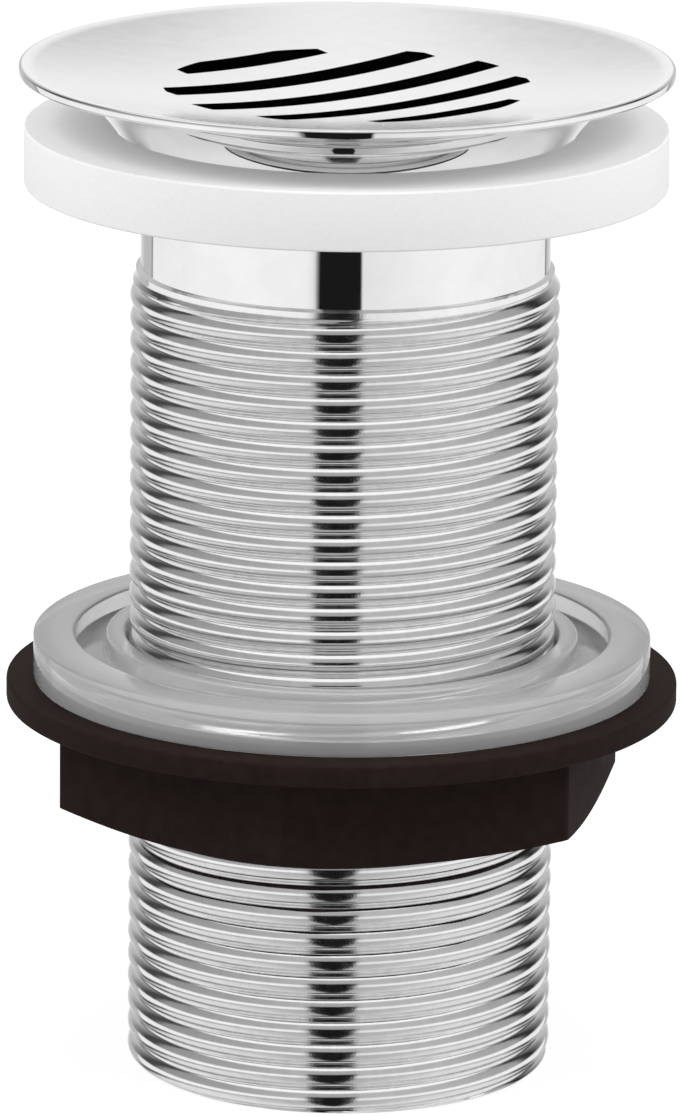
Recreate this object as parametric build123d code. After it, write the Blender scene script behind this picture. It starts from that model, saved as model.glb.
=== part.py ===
from build123d import *
from math import cos, floor, pi, sqrt
import os

# Basin waste: a dished, slotted flange on a threaded tail, cast and turned as one piece, with a foam
# washer under the flange, and a clear grooved washer and a flanged backnut on the thread.
# Millimetres, +Z up. The axis is X = Y = 0, and the tail's lower end stands on Z = 0.

# Tail: a 1 1/4 inch parallel pipe thread, drawn over its crests
THREAD_DIAMETER = 41.91
OVERALL_HEIGHT = 100.0
NECK_RELIEF = 1.0
TAIL_WALL = 1.95
PLAIN_NECK = 5.1
RUN_OUT = 1.4
END_CHAMFER = 0.6

# Flange: a shallow dish on a trumpet-shaped flare
FLANGE_DIAMETER = 63.6
RIM_THICKNESS = 0.9
RIM_CHAMFER = 0.2
DISH_LIP = 0.4
DISH_DEPTH = 3.1
WEB_THICKNESS = 3.0
FLARE_HEIGHT = 14.0

# Drain slots: straight parallel cuts through the dish, inside the tail's bore
SLOT_WIDTH = 3.4
SLOT_PITCH = 7.8
SLOT_ANGLE = 39.0
SLOT_LEDGE = 0.1
SLOT_SHARE_OUTSIDE = 0.25

# Foam washer, pushed up against the flare
FOAM_THICKNESS = 5.7
FOAM_INSET = 0.5
FOAM_BORE_CLEARANCE = 0.35
FOAM_SEAT_WIDTH = 1.4
FOAM_SEAT_CLEARANCE = 0.1
FOAM_EDGE = 0.35

# Clear washer: a hub round the thread, a groove and a broad rim
CLEAR_BORE_CLEARANCE = 0.3
CLEAR_HUB_WIDTH = 1.95
CLEAR_GROOVE_WIDTH = 3.05
CLEAR_RIM_WIDTH = 4.1
CLEAR_FLOOR = 2.3
CLEAR_GROOVE_DEPTH = 2.1
CLEAR_EDGE_BREAK = 0.3

# Backnut: a round flange over a hexagon
NUT_CLEARANCE = 0.15
NUT_PLACE = 26.5
HEX_WALL = 4.12
HEX_HEIGHT = 10.0
HEX_TURN = -100.9
HEX_CORNER_RISE = 1.05
NUT_FLANGE_REACH = 3.87
NUT_FLANGE_THICKNESS = 2.3
NUT_EDGE_BREAK = 0.25

# Sizes and heights that follow from the driving dimensions
thread_r = THREAD_DIAMETER / 2
neck_r = thread_r - NECK_RELIEF
bore_r = neck_r - TAIL_WALL
flange_r = FLANGE_DIAMETER / 2
flare_r = flange_r - RIM_CHAMFER
rim_underside = OVERALL_HEIGHT - RIM_THICKNESS
flare_start = rim_underside - FLARE_HEIGHT
run_out_end = flare_start - PLAIN_NECK
thread_end = run_out_end - RUN_OUT
dish_floor = OVERALL_HEIGHT - DISH_DEPTH
web_underside = dish_floor - WEB_THICKNESS
slot_field_r = bore_r - SLOT_LEDGE
nut_bore_r = thread_r + NUT_CLEARANCE
nut_top = NUT_PLACE + HEX_HEIGHT + NUT_FLANGE_THICKNESS


def flare_height_at(radius):
    """Height of the flare's underside at a radius: a quarter ellipse from the neck to the rim."""
    reach = (flare_r - radius) / (flare_r - neck_r)
    return flare_start + FLARE_HEIGHT * sqrt(1 - reach**2)


def make_waste_body():
    """The dished flange, flare, plain neck and tail, turned in one piece, with the slots cut through."""
    with BuildPart() as body:
        with BuildSketch(Plane.XZ):
            with BuildLine():
                Polyline(
                    (0, dish_floor),
                    (0, web_underside),
                    (bore_r, web_underside),
                    (bore_r, 0),
                    (thread_r - END_CHAMFER, 0),
                    (thread_r, END_CHAMFER),
                    (thread_r, thread_end),
                    (neck_r, run_out_end),
                    (neck_r, flare_start),
                )
                EllipticalCenterArc(
                    (flare_r, flare_start),
                    x_radius=flare_r - neck_r,
                    y_radius=FLARE_HEIGHT,
                    start_angle=90,
                    arc_size=90,
                )
                Polyline(
                    (flare_r, rim_underside),
                    (flange_r, rim_underside + RIM_CHAMFER),
                    (flange_r, OVERALL_HEIGHT - RIM_CHAMFER),
                    (flare_r, OVERALL_HEIGHT),
                    (flange_r - DISH_LIP, OVERALL_HEIGHT),
                )
                TangentArc(
                    (0, dish_floor),
                    (flange_r - DISH_LIP, OVERALL_HEIGHT),
                    tangent=(1, 0),
                )
            make_face()
        revolve(axis=Axis.Z)
        with BuildSketch(Plane.XY.offset(web_underside)):
            slots_a_side = floor((slot_field_r - SLOT_WIDTH * SLOT_SHARE_OUTSIDE) / SLOT_PITCH)
            for row in range(-slots_a_side, slots_a_side + 1):
                off_centre = row * SLOT_PITCH
                slot_length = 2 * sqrt(slot_field_r**2 - off_centre**2)
                with Locations(Location((0, 0), SLOT_ANGLE) * Location((0, off_centre))):
                    Rectangle(slot_length, SLOT_WIDTH)
            Circle(slot_field_r, mode=Mode.INTERSECT)
        extrude(amount=WEB_THICKNESS + DISH_DEPTH, mode=Mode.SUBTRACT)
    return body.part


def make_foam_washer():
    """The soft white ring under the flange: it slips over the thread and beds against the flare."""
    foam_r = flange_r - FOAM_INSET
    foam_bore_r = thread_r + FOAM_BORE_CLEARANCE
    seat_r = foam_bore_r + FOAM_SEAT_WIDTH
    foam_top = flare_height_at(seat_r - FOAM_SEAT_CLEARANCE)
    foam_bottom = foam_top - FOAM_THICKNESS
    with BuildPart() as foam:
        with BuildSketch(Plane.XZ):
            with BuildLine():
                Polyline(
                    (foam_bore_r, foam_bottom),
                    (foam_r, foam_bottom),
                    (foam_r, foam_top),
                    (seat_r, foam_top),
                    (foam_bore_r, flare_height_at(foam_bore_r - FOAM_SEAT_CLEARANCE)),
                    close=True,
                )
            make_face()
        revolve(axis=Axis.Z)
        outer_edges = foam.edges().filter_by(GeomType.CIRCLE).group_by(SortBy.RADIUS)[-1]
        chamfer(outer_edges, FOAM_EDGE)
    return foam.part


def make_clear_washer():
    """The see-through washer on the nut: hub, groove and rim in one moulding, flat underneath."""
    clear_bore_r = thread_r + CLEAR_BORE_CLEARANCE
    hub_r = clear_bore_r + CLEAR_HUB_WIDTH
    groove_r = hub_r + CLEAR_GROOVE_WIDTH
    clear_r = groove_r + CLEAR_RIM_WIDTH
    groove_floor = nut_top + CLEAR_FLOOR
    clear_top = groove_floor + CLEAR_GROOVE_DEPTH
    with BuildPart() as washer:
        with BuildSketch(Plane.XZ):
            with BuildLine():
                Polyline(
                    (clear_bore_r, nut_top),
                    (clear_r, nut_top),
                    (clear_r, clear_top),
                    (groove_r, clear_top),
                    (groove_r, groove_floor),
                    (hub_r, groove_floor),
                    (hub_r, clear_top),
                    (clear_bore_r, clear_top),
                    close=True,
                )
            make_face()
        revolve(axis=Axis.Z)
        top_edges = washer.edges().filter_by(GeomType.CIRCLE).group_by(Axis.Z)[-1]
        chamfer(top_edges, CLEAR_EDGE_BREAK)
    return washer.part


def make_backnut():
    """The flanged nut: a hexagon whose lower corners are turned off at a slant, under a round flange."""
    flat_r = nut_bore_r + HEX_WALL
    corner_r = flat_r / cos(pi / 6)
    flange_bottom = NUT_PLACE + HEX_HEIGHT
    with BuildPart() as nut:
        with BuildSketch(Plane.XY.offset(NUT_PLACE)):
            RegularPolygon(corner_r, 6, rotation=HEX_TURN)
        extrude(amount=HEX_HEIGHT)
        with BuildSketch(Plane.XZ):
            with BuildLine():
                Polyline(
                    (0, NUT_PLACE),
                    (flat_r, NUT_PLACE),
                    (corner_r, NUT_PLACE + HEX_CORNER_RISE),
                    (corner_r, flange_bottom),
                    (0, flange_bottom),
                    close=True,
                )
            make_face()
        revolve(axis=Axis.Z, mode=Mode.INTERSECT)
        with BuildSketch(Plane.XY.offset(flange_bottom)):
            Circle(corner_r + NUT_FLANGE_REACH)
        extrude(amount=NUT_FLANGE_THICKNESS)
        flange_edges = nut.edges().filter_by(GeomType.CIRCLE).group_by(SortBy.RADIUS)[-1]
        chamfer(flange_edges, NUT_EDGE_BREAK)
        with BuildSketch(Plane.XY.offset(NUT_PLACE)):
            Circle(nut_bore_r)
        extrude(amount=HEX_HEIGHT + NUT_FLANGE_THICKNESS, mode=Mode.SUBTRACT)
    return nut.part


os.makedirs("parts", exist_ok=True)
pieces = {
    "waste_body": make_waste_body(),
    "foam_washer": make_foam_washer(),
    "clear_washer": make_clear_washer(),
    "backnut": make_backnut(),
}
for name, piece in pieces.items():
    export_step(piece, f"parts/{name}.step")
    print(name, f"{piece.volume:.1f} mm3", piece.bounding_box())
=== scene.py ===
# %% [markdown]
# # A slotted basin waste
# The waste is the drain of a wash basin. A dished, slotted flange sits in the basin's hole, a foam washer seals
# under it, and a backnut screws up the tail and clamps the basin between the foam and a clear washer. The packed
# model is loaded first, because every piece below takes its place from it and none of it is ever moved.

# %% Load the frame
from math import asin, cos, degrees, hypot, pi, radians, sin, sqrt

import bmesh
import bpy
from mathutils import Euler, Matrix, Vector


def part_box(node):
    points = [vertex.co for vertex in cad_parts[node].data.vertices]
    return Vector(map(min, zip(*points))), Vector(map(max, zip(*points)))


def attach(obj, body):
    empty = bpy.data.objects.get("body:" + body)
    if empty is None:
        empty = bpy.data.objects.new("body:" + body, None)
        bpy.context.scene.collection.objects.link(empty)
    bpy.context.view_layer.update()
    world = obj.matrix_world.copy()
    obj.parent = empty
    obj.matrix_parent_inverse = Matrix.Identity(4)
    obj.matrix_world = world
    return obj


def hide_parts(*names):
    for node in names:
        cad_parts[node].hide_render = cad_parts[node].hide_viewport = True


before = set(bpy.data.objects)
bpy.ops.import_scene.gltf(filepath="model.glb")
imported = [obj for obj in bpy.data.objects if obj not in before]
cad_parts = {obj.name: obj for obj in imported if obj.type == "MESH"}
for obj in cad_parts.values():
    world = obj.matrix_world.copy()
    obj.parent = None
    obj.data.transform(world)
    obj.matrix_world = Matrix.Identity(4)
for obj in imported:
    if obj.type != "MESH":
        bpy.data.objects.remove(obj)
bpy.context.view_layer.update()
MM = 0.001

# %% [markdown]
# ## Sizes
# Heights and radii are in millimetres, because that is how such a part is drawn. The frame gives the outer sizes
# of each piece. The rest are the few sizes that a box can't show, such as the neck, the bore and the groove.

# %% Sizes of the four pieces
def reach(node):
    """Radius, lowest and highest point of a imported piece, in millimetres."""
    low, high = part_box(node)
    return high.x / MM, low.z / MM, high.z / MM


flange_r, tail_foot, flange_top = reach("waste_body")
foam_r, foam_bottom, foam_top = reach("foam_washer")
clear_r, clear_bottom, clear_top = reach("clear_washer")
nut_r, nut_bottom, nut_top = reach("backnut")
PITCH = 2.309
CREST_R = 20.955
NECK_R = 19.955
BORE_R = 18.005
print(f"flange {flange_r:.2f}, foam {foam_r:.2f}, clear washer {clear_r:.2f}, nut {nut_r:.2f} mm in radius")

# %% [markdown]
# ## Camera
# The picture is taken with a long lens from a little above, so the round edges show as flat ovals. The camera is
# set by its distance, its height, how far it looks down, and the small lean of the picture to one side.

# %% Camera
FRAME_HIGH_PX = 1116
FOCAL_PX = 8635.5
SENSOR = 36.0
CAMERA_PLACE = (-0.26, -820.0, 265.3)
LOOKS_DOWN = 14.675
LEAN = 0.553

camera_data = bpy.data.cameras.new("picture_camera")
camera_data.sensor_width = SENSOR
camera_data.lens = FOCAL_PX / FRAME_HIGH_PX * SENSOR
camera = bpy.data.objects.new("picture_camera", camera_data)
camera.location = Vector(CAMERA_PLACE) * MM
aim = Euler((radians(90 - LOOKS_DOWN), 0, 0)).to_matrix() @ Matrix.Rotation(radians(LEAN), 3, "Z")
camera.rotation_euler = aim.to_euler()
bpy.context.scene.collection.objects.link(camera)
bpy.context.scene.camera = camera
bpy.context.scene.view_settings.view_transform = "Standard"
print(f"lens {camera_data.lens:.1f} mm")

# %% [markdown]
# ## Tools for modelling
# A turned piece is drawn as half of its section and spun about the axis, as a lathe would make it. The section is
# drawn the way a hand does it: one point, then extrude to the next. Round edges are short rows of points on an arc.

# %% Drawing and turning
ROUND_STEPS = 128
WELD = 1e-7
SMOOTH_UNDER = 32


def start_fresh():
    """Leaves edit mode and selects nothing, because an operator acts on all that is selected."""
    if bpy.context.object and bpy.context.object.mode != "OBJECT":
        bpy.ops.object.mode_set(mode="OBJECT")
    bpy.ops.object.select_all(action="DESELECT")


def pick(piece):
    """Makes one object the selected and active one."""
    start_fresh()
    piece.select_set(True)
    bpy.context.view_layer.objects.active = piece


def arc(centre_r, centre_z, radius, start, end, parts):
    """Points on an arc of the section, from one angle to another in degrees."""
    turns = [radians(start + (end - start) * k / parts) for k in range(parts + 1)]
    return [(centre_r + radius * cos(t), centre_z + radius * sin(t)) for t in turns]


def draw_section(name, points, closed=False):
    """A row of edges in the XZ plane, from points given as radius and height in millimetres."""
    start_fresh()
    bpy.ops.mesh.primitive_plane_add(size=MM)
    section = bpy.context.object
    section.name = name
    bpy.ops.object.mode_set(mode="EDIT")
    bpy.ops.mesh.select_mode(type="VERT")
    bpy.ops.mesh.merge(type="CENTER")
    places = [Vector((r, 0, z)) * MM for r, z in points]
    bpy.ops.transform.translate(value=places[0])
    for before, after in zip(places, places[1:]):
        bpy.ops.mesh.extrude_vertices_move(TRANSFORM_OT_translate={"value": after - before})
    if closed:
        mesh = bmesh.from_edit_mesh(section.data)
        mesh.verts.ensure_lookup_table()
        mesh.verts[0].select_set(True)
        mesh.verts[-1].select_set(True)
        bmesh.update_edit_mesh(section.data)
        bpy.ops.mesh.edge_face_add()
    bpy.ops.mesh.select_all(action="SELECT")
    return section


def weld(piece):
    """Merges points that coincide and turns all faces outwards."""
    pick(piece)
    bpy.ops.object.mode_set(mode="EDIT")
    bpy.ops.mesh.select_all(action="SELECT")
    bpy.ops.mesh.remove_doubles(threshold=WELD)
    bpy.ops.mesh.normals_make_consistent(inside=False)
    bpy.ops.object.mode_set(mode="OBJECT")
    return piece


def turn(name, points, closed=False):
    """Spins a section once about the axis."""
    piece = draw_section(name, points, closed)
    bpy.ops.mesh.spin(steps=ROUND_STEPS, angle=2 * pi, center=(0, 0, 0), axis=(0, 0, 1))
    return weld(piece)


def cut(piece, cutter, operation):
    """Applies a Boolean between two pieces and throws the cutter away."""
    pick(piece)
    bpy.ops.object.modifier_add(type="BOOLEAN")
    joint = piece.modifiers[-1]
    joint.operation = operation
    joint.solver = "EXACT"
    joint.object = cutter
    bpy.ops.object.modifier_apply(modifier=joint.name)
    bpy.data.objects.remove(cutter)
    return piece


def select_edges(piece, test):
    """In edit mode, selects the edges of a piece that pass a test on their two ends."""
    mesh = bmesh.from_edit_mesh(piece.data)
    bpy.ops.mesh.select_all(action="DESELECT")
    for edge in mesh.edges:
        if test(edge):
            edge.select_set(True)
    bmesh.update_edit_mesh(piece.data)
    return sum(edge.select for edge in mesh.edges)


def radius_of(point):
    return hypot(point.x, point.y) / MM


def settle(piece, body, node):
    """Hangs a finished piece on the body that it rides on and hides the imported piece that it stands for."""
    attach(piece, body)
    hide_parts(node)
    print(piece.name, len(piece.data.polygons), "faces on", body)


# %% [markdown]
# ## The head of the waste
# Flange, flare and neck are one casting, turned and plated. Half of the section runs from the middle of the dish
# out to the rim, down the trumpet-shaped flare to the neck, and back up the bore. Spun, it is a closed solid, which
# the Boolean needs for the slots.

# %% Head: section and spin
RIM_THICKNESS = 0.9
RIM_ROUND = 0.22
DISH_LIP = 0.4
DISH_DEPTH = 3.1
WEB_THICKNESS = 3.0
FLARE_HEIGHT = 14.0
NECK_FOOT = 80.15
DISH_RINGS = 26
FLARE_RINGS = 28

dish_floor = flange_top - DISH_DEPTH
dish_r = flange_r - DISH_LIP
web_underside = dish_floor - WEB_THICKNESS
rim_underside = flange_top - RIM_THICKNESS
flare_start = rim_underside - FLARE_HEIGHT
flare_r = flange_r - RIM_ROUND
bowl_r = (dish_r**2 + DISH_DEPTH**2) / (2 * DISH_DEPTH)


def dish_height(radius):
    """Height of the dish, a shallow piece of a large ball."""
    return dish_floor + bowl_r - sqrt(bowl_r**2 - radius**2)


def flare_point(share):
    """A point on the flare, a quarter ellipse from the rim (0) down to the neck (1)."""
    angle = radians(90 + 90 * share)
    return flare_r + (flare_r - NECK_R) * cos(angle), flare_start + FLARE_HEIGHT * sin(angle)


dish_line = [(dish_r * k / DISH_RINGS, dish_height(dish_r * k / DISH_RINGS)) for k in range(DISH_RINGS + 1)]
rim_line = arc(flare_r, flange_top - RIM_ROUND, RIM_ROUND, 90, 0, 4)
rim_line += arc(flare_r, rim_underside + RIM_ROUND, RIM_ROUND, 0, -90, 4)
flare_line = [flare_point(k / FLARE_RINGS) for k in range(1, FLARE_RINGS + 1)]
bore_line = [(NECK_R, NECK_FOOT), (BORE_R, NECK_FOOT), (BORE_R, web_underside), (0, web_underside)]
waste = turn("waste_visual", dish_line + rim_line + flare_line + bore_line)
print("head", len(waste.data.polygons), "faces")

# %% [markdown]
# ## Drain slots
# Five straight parallel slots go through the dish, each as long as the bore lets it be along its middle. They are
# cut in one go: five bars, trimmed to a round by a cylinder, are taken out of the head.

# %% Slots
SLOT_WIDTH = 3.4
SLOT_PITCH = 7.8
SLOT_ANGLE = 39.0
SLOT_FIELD_R = BORE_R - 0.1
SLOTS_A_SIDE = 2

start_fresh()
bars = []
for row in range(-SLOTS_A_SIDE, SLOTS_A_SIDE + 1):
    off_centre = row * SLOT_PITCH
    length = 2 * sqrt(SLOT_FIELD_R**2 - off_centre**2)
    across = Matrix.Rotation(radians(SLOT_ANGLE), 3, "Z") @ Vector((0, off_centre, dish_floor))
    bpy.ops.mesh.primitive_cube_add(size=1, location=across * MM, rotation=(0, 0, radians(SLOT_ANGLE)))
    bpy.ops.transform.resize(value=Vector((length, SLOT_WIDTH, 4 * WEB_THICKNESS)) * MM, orient_type="LOCAL")
    bars.append(bpy.context.object)
for bar in bars:
    bar.select_set(True)
bpy.ops.object.join()
slot_bars = bpy.context.object
bpy.ops.object.transform_apply(location=True, rotation=True, scale=True)
start_fresh()
bpy.ops.mesh.primitive_cylinder_add(
    vertices=ROUND_STEPS,
    radius=SLOT_FIELD_R * MM,
    depth=3 * WEB_THICKNESS * MM,
    location=(0, 0, dish_floor * MM),
)
slot_field = bpy.context.object
cut(slot_bars, slot_field, "INTERSECT")
cut(waste, slot_bars, "DIFFERENCE")
print("head with slots", len(waste.data.polygons), "faces")

# %% [markdown]
# ## The tail's thread
# A 1 1/4 inch pipe thread, 11 turns an inch and right-handed, rolled and plated so that each crest is a full round
# lobe and the groove between two lobes is narrow. One turn of the section is drawn and the Screw modifier carries it
# up the tail, which no ring-by-ring lathe work could do. Its ends are cut level, its lowest crest is chamfered, and
# its last turn is turned down towards the neck.

# %% Thread: one turn of the section, carried up by the Screw modifier
CREST_ROUND = 1.2
ROOT_ROUND = 0.05
CREST_PHASE = 2.08
STEPS_A_TURN = 96
END_CHAMFER = 0.6
lobe_to_root = CREST_ROUND + ROOT_ROUND
lobe_half = degrees(asin(PITCH / 2 / lobe_to_root))
root_centre = CREST_R - CREST_ROUND + sqrt(lobe_to_root**2 - (PITCH / 2) ** 2)
thread_depth = CREST_R - root_centre + ROOT_ROUND


def thread_section(grow):
    """Points of one turn, from root to root about height 0, with every radius grown by a clearance."""
    crest = arc(CREST_R + grow - CREST_ROUND, 0, CREST_ROUND, -lobe_half, lobe_half, 14)
    lower = arc(root_centre + grow, -PITCH / 2, ROOT_ROUND, 180, 180 - lobe_half, 2)
    upper = arc(root_centre + grow, PITCH / 2, ROOT_ROUND, 180 + lobe_half, 180, 2)
    return lower[:-1] + crest + upper[1:]


def thread_sheet(name, low, high, grow=0.0):
    """The thread's surface between two heights, open at both ends."""
    below = int((low - CREST_PHASE) // PITCH) - 1
    turns = int((high - low) / PITCH) + 5
    first_crest = CREST_PHASE + below * PITCH
    sheet = draw_section(name, [(r, z + first_crest) for r, z in thread_section(grow)])
    bpy.ops.object.mode_set(mode="OBJECT")
    bpy.ops.object.modifier_add(type="SCREW")
    screw = sheet.modifiers[-1]
    screw.axis = "Z"
    screw.screw_offset = PITCH * MM
    screw.iterations = turns
    screw.steps = STEPS_A_TURN
    screw.render_steps = STEPS_A_TURN
    bpy.ops.object.modifier_apply(modifier=screw.name)
    weld(sheet)
    bpy.ops.object.mode_set(mode="EDIT")
    for height, keep_above in ((low, True), (high, False)):
        bpy.ops.mesh.select_all(action="SELECT")
        bpy.ops.mesh.bisect(
            plane_co=(0, 0, height * MM),
            plane_no=(0, 0, 1),
            clear_inner=keep_above,
            clear_outer=not keep_above,
            threshold=WELD,
        )
    bpy.ops.object.mode_set(mode="OBJECT")
    return sheet


THREAD_TOP = NECK_FOOT - 0.25
LAST_TURN_R = 20.4
LAST_TURN_FOOT = 79.2
RUN_OUT = 0.9
tail = thread_sheet("tail_thread", tail_foot, THREAD_TOP)
for vertex in tail.data.vertices:
    height = vertex.co.z / MM
    turned_down = min(1, max(0, (height - LAST_TURN_FOOT) / RUN_OUT + 1))
    run_out = CREST_R - (CREST_R - LAST_TURN_R) * turned_down
    chamfer = CREST_R - END_CHAMFER + height - tail_foot
    wanted = min(radius_of(vertex.co), run_out, chamfer)
    vertex.co.xy *= wanted / radius_of(vertex.co)
print(f"thread depth {thread_depth:.2f} mm, {len(tail.data.polygons)} faces")

# %% [markdown]
# ## Joining tail and head
# The flat end that closed the head for the Boolean is deleted, and the bore is pulled down to the tail's foot. Two
# bridges then close the shell: one from the thread's last turn to the neck, and one across the tail's foot.

# %% Join and bridge
pick(waste)
bpy.ops.object.mode_set(mode="EDIT")
shell = bmesh.from_edit_mesh(waste.data)
bpy.ops.mesh.select_mode(type="FACE")
bpy.ops.mesh.select_all(action="DESELECT")
for face in shell.faces:
    if abs(face.calc_center_median().z / MM - NECK_FOOT) < 0.01 and abs(face.normal.z) > 0.9:
        face.select_set(True)
bmesh.update_edit_mesh(waste.data)
bpy.ops.mesh.delete(type="FACE")
bpy.ops.mesh.select_mode(type="EDGE")


LEVEL_WITHIN = 0.02


def is_open_at(height, low_r, high_r):
    """A test for open edges at one height whose ends lie between two radii."""

    def test(edge):
        ends = [v.co for v in edge.verts]
        level = all(abs(p.z / MM - height) < LEVEL_WITHIN for p in ends)
        return edge.is_boundary and level and all(low_r < radius_of(p) < high_r for p in ends)

    return test


between_r = (BORE_R + NECK_R) / 2
print("bore edge", select_edges(waste, is_open_at(NECK_FOOT, 0, between_r)))
bpy.ops.mesh.extrude_edges_move(TRANSFORM_OT_translate={"value": (0, 0, (tail_foot - NECK_FOOT) * MM)})
bpy.ops.object.mode_set(mode="OBJECT")
pick(waste)
tail.select_set(True)
bpy.ops.object.join()
bpy.ops.object.mode_set(mode="EDIT")
bpy.ops.mesh.select_mode(type="EDGE")
neck_edge = is_open_at(NECK_FOOT, between_r, CREST_R)
thread_edge = is_open_at(THREAD_TOP, between_r, CREST_R + 1)
print("run-out", select_edges(waste, lambda edge: neck_edge(edge) or thread_edge(edge)))
bpy.ops.mesh.bridge_edge_loops()
print("foot", select_edges(waste, is_open_at(tail_foot, 0, CREST_R + 1)))
bpy.ops.mesh.bridge_edge_loops()
bpy.ops.object.mode_set(mode="OBJECT")
weld(waste)
bpy.ops.object.shade_smooth_by_angle(angle=radians(SMOOTH_UNDER))
check = bmesh.new()
check.from_mesh(waste.data)
print("open edges left", sum(not edge.is_manifold for edge in check.edges))
check.free()
settle(waste, "waste", "waste_body")

# %% [markdown]
# ## Foam washer
# A ring punched out of closed-cell foam. It is a turned section with soft outer edges and a slanted seat where it
# beds against the flare.

# %% Foam washer
FOAM_BORE_R = 21.305
FOAM_SEAT_R = 22.705
FOAM_SEAT_DROP = 2.0
FOAM_ROUND = 0.22
FOAM_SMOOTH_UNDER = 30

foam_line = [(FOAM_BORE_R, foam_bottom + FOAM_ROUND / 2), (FOAM_BORE_R + FOAM_ROUND / 2, foam_bottom)]
foam_line += arc(foam_r - FOAM_ROUND, foam_bottom + FOAM_ROUND, FOAM_ROUND, -90, 0, 5)
foam_line += arc(foam_r - FOAM_ROUND, foam_top - FOAM_ROUND, FOAM_ROUND, 0, 90, 5)
foam_line += [(FOAM_SEAT_R, foam_top), (FOAM_BORE_R, foam_top - FOAM_SEAT_DROP)]
foam = turn("foam_washer_visual", foam_line, closed=True)
pick(foam)
bpy.ops.object.shade_smooth_by_angle(angle=radians(FOAM_SMOOTH_UNDER))
settle(foam, "waste", "foam_washer")
foam.visible_glossy = False
print("the polished flare mirrors the studio and not the foam close under it")

# %% [markdown]
# ## Clear washer
# A see-through moulding: a hub round the thread, a groove, and a broad rim that bears on the basin. All its edges
# are slightly round, because a moulded edge is never sharp and the round is what catches the light.

# %% Clear washer
CLEAR_BORE_R = 21.255
CLEAR_HUB_R = 23.205
CLEAR_GROOVE_R = 26.255
CLEAR_GROOVE_DEPTH = 2.1
CLEAR_ROUND = 0.3
CLEAR_FILLET = 0.4

groove_floor = clear_top - CLEAR_GROOVE_DEPTH
clear_line = arc(CLEAR_BORE_R + CLEAR_ROUND, clear_bottom + CLEAR_ROUND, CLEAR_ROUND, 180, 270, 3)
clear_line += arc(clear_r - CLEAR_ROUND, clear_bottom + CLEAR_ROUND, CLEAR_ROUND, -90, 0, 4)
clear_line += arc(clear_r - CLEAR_ROUND, clear_top - CLEAR_ROUND, CLEAR_ROUND, 0, 90, 4)
clear_line += arc(CLEAR_GROOVE_R + CLEAR_ROUND, clear_top - CLEAR_ROUND, CLEAR_ROUND, 90, 180, 4)
clear_line += arc(CLEAR_GROOVE_R - CLEAR_FILLET, groove_floor + CLEAR_FILLET, CLEAR_FILLET, 0, -90, 4)
clear_line += arc(CLEAR_HUB_R + CLEAR_FILLET, groove_floor + CLEAR_FILLET, CLEAR_FILLET, 270, 180, 4)
clear_line += arc(CLEAR_HUB_R - CLEAR_ROUND, clear_top - CLEAR_ROUND, CLEAR_ROUND, 0, 90, 4)
clear_line += arc(CLEAR_BORE_R + CLEAR_ROUND, clear_top - CLEAR_ROUND, CLEAR_ROUND, 90, 180, 4)
clear = turn("clear_washer_visual", clear_line, closed=True)
pick(clear)
bpy.ops.object.shade_smooth_by_angle(angle=radians(SMOOTH_UNDER))
settle(clear, "washer", "clear_washer")

# %% [markdown]
# ## Backnut
# A black moulded nut: a hexagon for the spanner under a round flange. The hexagon starts as a six-sided cylinder
# with its upright edges bevelled. A turned blank slants its lower corners, the flange is joined on top, and a tap
# with the tail's own thread, a little larger, cuts the inside, so the two always mesh.

# %% Backnut
HEX_HEIGHT = 10.0
HEX_FLATS_R = 25.225
HEX_TURN = -100.9
HEX_CORNER_RISE = 1.05
HEX_EDGE = 0.5
NUT_ROUND = 0.35
TAP_CLEARANCE = 0.12
BLANK_MARGIN = 1.0

hex_corner_r = HEX_FLATS_R / cos(pi / 6)
flange_bottom = nut_bottom + HEX_HEIGHT
start_fresh()
bpy.ops.mesh.primitive_cylinder_add(
    vertices=6,
    radius=hex_corner_r * MM,
    depth=HEX_HEIGHT * MM,
    location=(0, 0, (nut_bottom + HEX_HEIGHT / 2) * MM),
    rotation=(0, 0, radians(HEX_TURN - 90)),
)
nut = bpy.context.object
nut.name = "backnut_visual"
bpy.ops.object.transform_apply(location=True, rotation=True, scale=True)
bpy.ops.object.mode_set(mode="EDIT")
bpy.ops.mesh.select_mode(type="EDGE")
select_edges(nut, lambda edge: abs(edge.verts[0].co.z - edge.verts[1].co.z) > HEX_HEIGHT * MM / 2)
bpy.ops.mesh.bevel(offset=HEX_EDGE * MM, segments=4)
bpy.ops.object.mode_set(mode="OBJECT")
blank_r = hex_corner_r + BLANK_MARGIN
blank_line = [
    (0, nut_bottom),
    (HEX_FLATS_R, nut_bottom),
    (blank_r, nut_bottom + HEX_CORNER_RISE * (blank_r - HEX_FLATS_R) / (hex_corner_r - HEX_FLATS_R)),
    (blank_r, flange_bottom + BLANK_MARGIN),
    (0, flange_bottom + BLANK_MARGIN),
]
cut(nut, turn("slanting_blank", blank_line), "INTERSECT")
collar_line = [(0, flange_bottom)]
collar_line += arc(nut_r - NUT_ROUND, flange_bottom + NUT_ROUND, NUT_ROUND, -90, 0, 4)
collar_line += arc(nut_r - NUT_ROUND, nut_top - NUT_ROUND, NUT_ROUND, 0, 90, 4)
collar_line += [(0, nut_top)]
cut(nut, turn("collar", collar_line), "UNION")
tap = thread_sheet("tap", nut_bottom - PITCH / 2, nut_top + PITCH / 2, TAP_CLEARANCE)
pick(tap)
bpy.ops.object.mode_set(mode="EDIT")
bpy.ops.mesh.select_mode(type="EDGE")
for height in (nut_bottom - PITCH / 2, nut_top + PITCH / 2):
    select_edges(tap, is_open_at(height, 0, nut_r))
    bpy.ops.mesh.edge_face_add()
weld(tap)
cut(nut, tap, "DIFFERENCE")
pick(nut)
bpy.ops.object.shade_smooth_by_angle(angle=radians(SMOOTH_UNDER))
settle(nut, "nut", "backnut")

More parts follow.
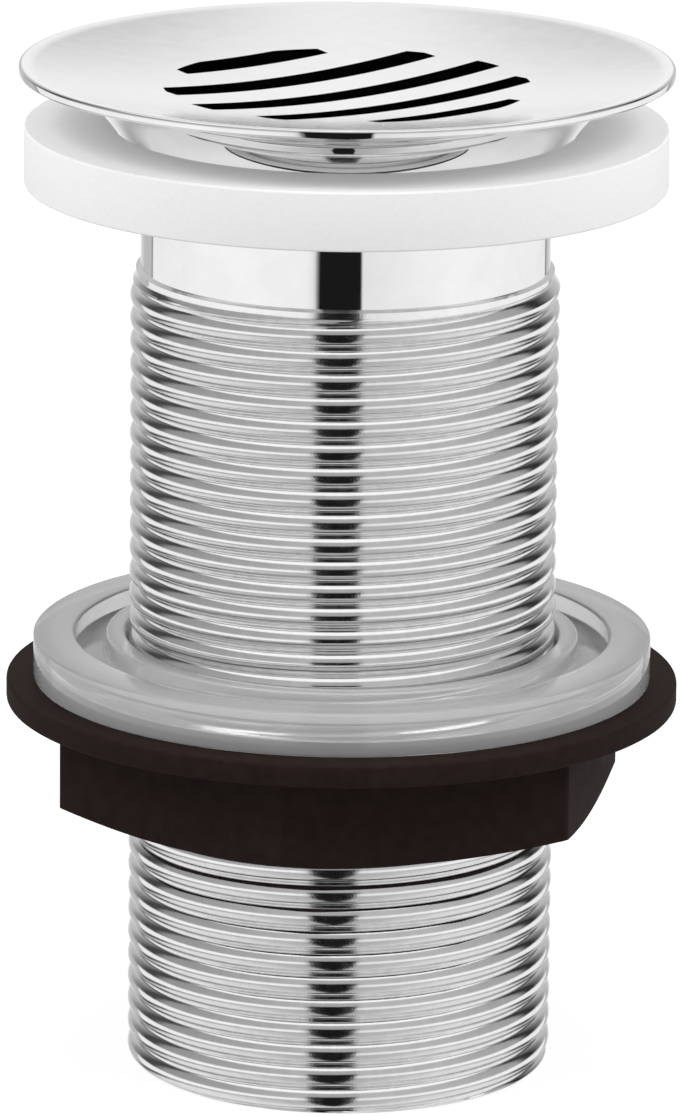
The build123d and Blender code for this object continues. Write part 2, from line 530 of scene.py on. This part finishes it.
# %% [markdown]
# ## Finishes
# Each finish is a Principled shader whose roughness and relief come from noise in the piece's own coordinates, so
# it stays on the piece when the piece moves. Colours that are the same all over are set on the shader itself.

# %% Tools for materials
def new_material(name):
    """A material with an empty Principled shader, its node tree and its coordinates."""
    material = bpy.data.materials.new(name)
    material.use_nodes = True
    tree = material.node_tree
    shader = tree.nodes["Principled BSDF"]
    coordinates = tree.nodes.new("ShaderNodeTexCoord").outputs["Object"]
    return material, tree, shader, coordinates


def noise(tree, vector, scale, detail=3.0):
    """Noise with a grain of 1/scale metres."""
    node = tree.nodes.new("ShaderNodeTexNoise")
    node.inputs["Scale"].default_value = scale
    node.inputs["Detail"].default_value = detail
    tree.links.new(vector, node.inputs["Vector"])
    return node.outputs["Fac"]


def spread(tree, value, low, high, start=0.3, end=0.7):
    """Maps the middle of a noise to the range from low to high."""
    node = tree.nodes.new("ShaderNodeMapRange")
    node.inputs["From Min"].default_value = start
    node.inputs["From Max"].default_value = end
    node.inputs["To Min"].default_value = low
    node.inputs["To Max"].default_value = high
    tree.links.new(value, node.inputs["Value"])
    return node.outputs["Result"]


def tint(tree, value, low, high, start=0.3, end=0.7):
    """A colour between two others, led by a noise."""
    node = tree.nodes.new("ShaderNodeValToRGB")
    node.color_ramp.elements[0].position = start
    node.color_ramp.elements[0].color = (*low, 1)
    node.color_ramp.elements[1].position = end
    node.color_ramp.elements[1].color = (*high, 1)
    tree.links.new(value, node.inputs["Fac"])
    return node.outputs["Color"]


def relief(tree, shader, value, distance, strength=1.0):
    """Small relief on the surface, with its depth in metres."""
    node = tree.nodes.new("ShaderNodeBump")
    node.inputs["Distance"].default_value = distance
    node.inputs["Strength"].default_value = strength
    tree.links.new(value, node.inputs["Height"])
    tree.links.new(node.outputs["Normal"], shader.inputs["Normal"])


# %% Chrome in three finishes
def chrome(name, low, high, grain, relief_depth, colour=(0.95, 0.95, 0.953)):
    material, tree, shader, place = new_material(name)
    shader.inputs["Metallic"].default_value = 1.0
    wear = noise(tree, place, grain)
    deeper = tuple(c * 0.94 for c in colour)
    tree.links.new(tint(tree, wear, deeper, colour), shader.inputs["Base Color"])
    tree.links.new(spread(tree, wear, low, high), shader.inputs["Roughness"])
    relief(tree, shader, noise(tree, place, grain * 6), relief_depth)
    return material


polished = chrome("polished_chrome", 0.02, 0.05, 300.0, 0.4e-6)
satin_dish = chrome("satin_chrome_dish", 0.11, 0.16, 500.0, 0.4e-6)
satin_thread = chrome("satin_chrome_thread", 0.08, 0.14, 900.0, 3.0e-6)
POLISHED, SATIN_DISH, SATIN_THREAD = range(3)
FACES_UP = 0.9
for finish in (polished, satin_dish, satin_thread):
    waste.data.materials.append(finish)
for face in waste.data.polygons:
    height = face.center.z / MM
    if height < NECK_FOOT - LEVEL_WITHIN and radius_of(face.center) > between_r:
        face.material_index = SATIN_THREAD
    elif height > dish_floor - 0.1 and face.normal.z > FACES_UP:
        face.material_index = SATIN_DISH
    else:
        face.material_index = POLISHED
print("chrome faces", [sum(f.material_index == k for f in waste.data.polygons) for k in range(3)])

# %% [markdown]
# ## Foam and plastics
# The clear washer lets most light through, with a little haze, as a moulding does. Its flat underside is frosted, so
# it stays bright on the black nut instead of showing it.

# %% Foam, clear plastic and black plastic
def foam_finish():
    material, tree, shader, place = new_material("white_foam")
    cells = noise(tree, place, 2600.0, 4.0)
    tree.links.new(tint(tree, cells, (0.89, 0.89, 0.888), (0.92, 0.92, 0.918)), shader.inputs["Base Color"])
    shader.inputs["Roughness"].default_value = 0.9
    shader.inputs["Specular IOR Level"].default_value = 0.2
    relief(tree, shader, cells, 0.02e-3, 0.3)
    return material


def clear_finish():
    material, tree, shader, place = new_material("clear_plastic")
    flow = noise(tree, place, 160.0)
    tree.links.new(tint(tree, flow, (0.95, 0.95, 0.955), (0.98, 0.98, 0.985)), shader.inputs["Base Color"])
    shader.inputs["Transmission Weight"].default_value = 0.64
    shader.inputs["IOR"].default_value = 1.48
    tree.links.new(spread(tree, flow, 0.04, 0.1), shader.inputs["Roughness"])
    relief(tree, shader, flow, 0.02e-3, 0.4)
    return material


def frosted_finish():
    material, tree, shader, place = new_material("frosted_plastic")
    frost = noise(tree, place, 900.0)
    tree.links.new(tint(tree, frost, (0.92, 0.92, 0.925), (0.96, 0.96, 0.965)), shader.inputs["Base Color"])
    tree.links.new(spread(tree, frost, 0.5, 0.65), shader.inputs["Roughness"])
    relief(tree, shader, frost, 0.01e-3, 0.4)
    return material


def black_finish():
    material, tree, shader, place = new_material("black_plastic")
    skin = noise(tree, place, 700.0, 4.0)
    brown_black = tint(tree, skin, (0.0165, 0.0098, 0.0082), (0.0235, 0.0148, 0.0128))
    tree.links.new(brown_black, shader.inputs["Base Color"])
    tree.links.new(spread(tree, skin, 0.62, 0.72), shader.inputs["Roughness"])
    shader.inputs["Specular IOR Level"].default_value = 0.05
    relief(tree, shader, skin, 0.004e-3, 0.3)
    return material


foam.data.materials.append(foam_finish())
clear.data.materials.append(clear_finish())
clear.data.materials.append(frosted_finish())
for face in clear.data.polygons:
    face.material_index = int(face.normal.z < -FACES_UP)
nut.data.materials.append(black_finish())
print("finishes", [material.name for piece in (waste, foam, clear, nut) for material in piece.data.materials])

# %% [markdown]
# ## Stage and light
# The floor is white paper: a grey that takes the shadow, with a glow that only the eye sees. What the metal mirrors
# is set apart as grey levels by direction: a white wall all round a little below eye level, a dark gap where the
# picture is taken from, a pale table below, a greyer room above, a lit ceiling and a backdrop behind.

# %% Floor
PAPER_GREY = 0.5
PAPER_GLOW = 0.6
FLOOR_SIZE = 6


def floor_paper():
    material, tree, shader, place = new_material("white_paper")
    tree.nodes.remove(shader)
    paper = tree.nodes.new("ShaderNodeBsdfDiffuse")
    paper.inputs["Color"].default_value = (PAPER_GREY, PAPER_GREY, PAPER_GREY, 1)
    glow = tree.nodes.new("ShaderNodeEmission")
    rays = tree.nodes.new("ShaderNodeLightPath")
    seen = tree.nodes.new("ShaderNodeMath")
    seen.operation = "MAXIMUM"
    tree.links.new(rays.outputs["Is Camera Ray"], seen.inputs[0])
    tree.links.new(rays.outputs["Is Transmission Ray"], seen.inputs[1])
    level = tree.nodes.new("ShaderNodeMath")
    level.operation = "MULTIPLY"
    level.inputs[1].default_value = PAPER_GLOW
    tree.links.new(seen.outputs[0], level.inputs[0])
    tree.links.new(level.outputs[0], glow.inputs["Strength"])
    both = tree.nodes.new("ShaderNodeAddShader")
    tree.links.new(paper.outputs[0], both.inputs[0])
    tree.links.new(glow.outputs[0], both.inputs[1])
    tree.links.new(both.outputs[0], tree.nodes["Material Output"].inputs["Surface"])
    return material


start_fresh()
bpy.ops.mesh.primitive_plane_add(size=FLOOR_SIZE)
floor = bpy.context.object
floor.name = "floor"
floor.data.materials.append(floor_paper())
floor.visible_glossy = False
print("floor", FLOOR_SIZE, "m wide")

# %% Studio that the metal mirrors
world = bpy.data.worlds.new("studio")
bpy.context.scene.world = world
world.use_nodes = True
studio = world.node_tree
studio.nodes.clear()


def math(operation, first, second):
    """One sum in the studio's nodes, from sockets or plain numbers."""
    node = studio.nodes.new("ShaderNodeMath")
    node.operation = operation
    for socket, value in zip(node.inputs, (first, second)):
        if isinstance(value, (int, float)):
            socket.default_value = value
        else:
            studio.links.new(value, socket)
    return node.outputs[0]


def greys(value, stops, low, high):
    """Grey levels at given angles in degrees, straight between them."""
    node = studio.nodes.new("ShaderNodeValToRGB")
    ramp = node.color_ramp
    for k, (angle, grey) in enumerate(stops):
        stop = ramp.elements[k] if k < 2 else ramp.elements.new(1.0)
        stop.position = (angle - low) / (high - low)
        stop.color = (grey, grey, grey, 1)
    studio.links.new(math("DIVIDE", math("SUBTRACT", value, low), high - low), node.inputs["Fac"])
    return node.outputs["Color"]


way = studio.nodes.new("ShaderNodeTexCoord").outputs["Generated"]
split = studio.nodes.new("ShaderNodeSeparateXYZ")
studio.links.new(way, split.inputs[0])
azimuth = math("MULTIPLY", math("ARCTAN2", split.outputs[0], math("MULTIPLY", split.outputs[1], -1)), 180 / pi)
elevation = math("MULTIPLY", math("ARCSINE", split.outputs[2], 0), 180 / pi)
WALL = [(-180, 0.95), (-168, 0.75), (-155, 0.52), (-141, 0.52), (-139.5, 0.08), (-138, 0.88), (-60, 0.97)]
WALL += [(-22, 0.92), (-17, 0.8), (-16.5, 0.3), (-15.4, 0.25), (-15.2, 0.01), (8.6, 0.01), (9.4, 0.82), (25, 0.86)]
WALL += [(60, 0.97), (130, 0.9), (151, 0.86), (153, 0.06), (155, 0.5), (168, 0.75), (180, 0.95)]
wall = greys(azimuth, WALL, -180, 180)
ROOM = [(-180, 0.5), (-156, 0.4), (-146, 0.05), (-117, 0.06), (-108, 0.3), (-40, 0.42), (-17, 0.48)]
ROOM += [(-16, 0.008), (9, 0.008), (10, 0.5), (60, 0.48), (112, 0.36)]
ROOM += [(120, 0.03), (142, 0.02), (152, 0.4), (180, 0.5)]
room = greys(azimuth, ROOM, -180, 180)
TABLE = [(-180, 0.6), (-120, 0.78), (-80, 0.74), (-30, 0.5), (-17, 0.45), (-16, 0.01)]
TABLE += [(9, 0.01), (10, 0.45), (30, 0.5), (80, 0.74), (120, 0.78), (180, 0.6)]
table = greys(azimuth, TABLE, -180, 180)
TABLE_BELOW = [(-90, 1), (-36, 1), (-29, 0), (90, 0)]
table_below = greys(elevation, TABLE_BELOW, -90, 90)
OVER_GAP = [(-180, 0), (-22, 0), (-16, 0.4), (9, 0.4), (15, 0), (180, 0)]
OVER_GAP_FROM = [(-90, 0), (6, 0), (16, 1), (90, 1)]
over_gap = math("MULTIPLY", greys(azimuth, OVER_GAP, -180, 180), greys(elevation, OVER_GAP_FROM, -90, 90))
room = math("MAXIMUM", room, over_gap)
CEILING = [(-90, 0), (42, 0), (48, 1), (90, 1)]
ceiling = greys(elevation, CEILING, -90, 90)
BACKDROP = [(-90, 0.4), (-20, 0.5), (-5, 0.9), (12, 0.95), (34, 0.92), (60, 0.9), (90, 1.0)]
BACKDROP_SIDES = [(-180, 1.0), (-178.5, 0.97), (-176, 0.68), (-171, 0.62), (-150, 0.6)]
BACKDROP_SIDES += [(150, 0.6), (171, 0.6), (176, 0.66), (178.5, 0.97), (180, 1.0)]
backdrop = math("MULTIPLY", greys(elevation, BACKDROP, -90, 90), greys(azimuth, BACKDROP_SIDES, -180, 180))
WALL_BAND = [(-90, 0), (-27, 0), (-21, 1), (-7, 1), (0, 0), (90, 0)]
wall_band = greys(elevation, WALL_BAND, -90, 90)
BEHIND = [(-180, 1), (-162, 1), (-128, 0), (128, 0), (162, 1), (180, 1)]
BEHIND_ABOVE = -5
behind_above = math("GREATER_THAN", elevation, BEHIND_ABOVE)
behind = math("MULTIPLY", greys(azimuth, BEHIND, -180, 180), behind_above)


def between(lower, upper, share):
    """Goes from one level to another by a share from 0 to 1."""
    return math("ADD", math("MULTIPLY", lower, math("SUBTRACT", 1, share)), math("MULTIPLY", upper, share))


front_room = between(between(room, 1.0, ceiling), table, table_below)
mirrored = between(between(front_room, wall, wall_band), between(backdrop, wall, wall_band), behind)
rays = studio.nodes.new("ShaderNodeLightPath")
ROOM_LIGHT = 0.66
plain = math("MULTIPLY", math("SUBTRACT", 1, rays.outputs["Is Glossy Ray"]), ROOM_LIGHT)
strength = math("ADD", math("MULTIPLY", mirrored, rays.outputs["Is Glossy Ray"]), plain)
light = studio.nodes.new("ShaderNodeBackground")
light.inputs["Color"].default_value = (1, 1, 1, 1)
studio.links.new(strength, light.inputs["Strength"])
out = studio.nodes.new("ShaderNodeOutputWorld")
studio.links.new(light.outputs[0], out.inputs["Surface"])
print("studio", len(studio.nodes), "nodes, plain light", ROOM_LIGHT)

# %% Soft light from both sides
def softbox(name, place, size, watts):
    """A square area light that looks at the middle of the waste."""
    data = bpy.data.lights.new(name, "AREA")
    data.size = size
    data.energy = watts
    lamp = bpy.data.objects.new(name, data)
    lamp.location = place
    middle = Vector((0, 0, flange_top / 2 * MM))
    lamp.rotation_euler = (middle - Vector(place)).to_track_quat("-Z", "Y").to_euler()
    lamp.visible_glossy = False
    bpy.context.scene.collection.objects.link(lamp)
    return lamp


LAMP_SIZE = 1.0
LAMP_WATTS = 14.0
for name, side in (("left_softbox", -1), ("right_softbox", 1)):
    lamp = softbox(name, (side * 1.13, -0.41, 1.25), LAMP_SIZE, LAMP_WATTS)
    print(lamp.name, LAMP_WATTS, "W")
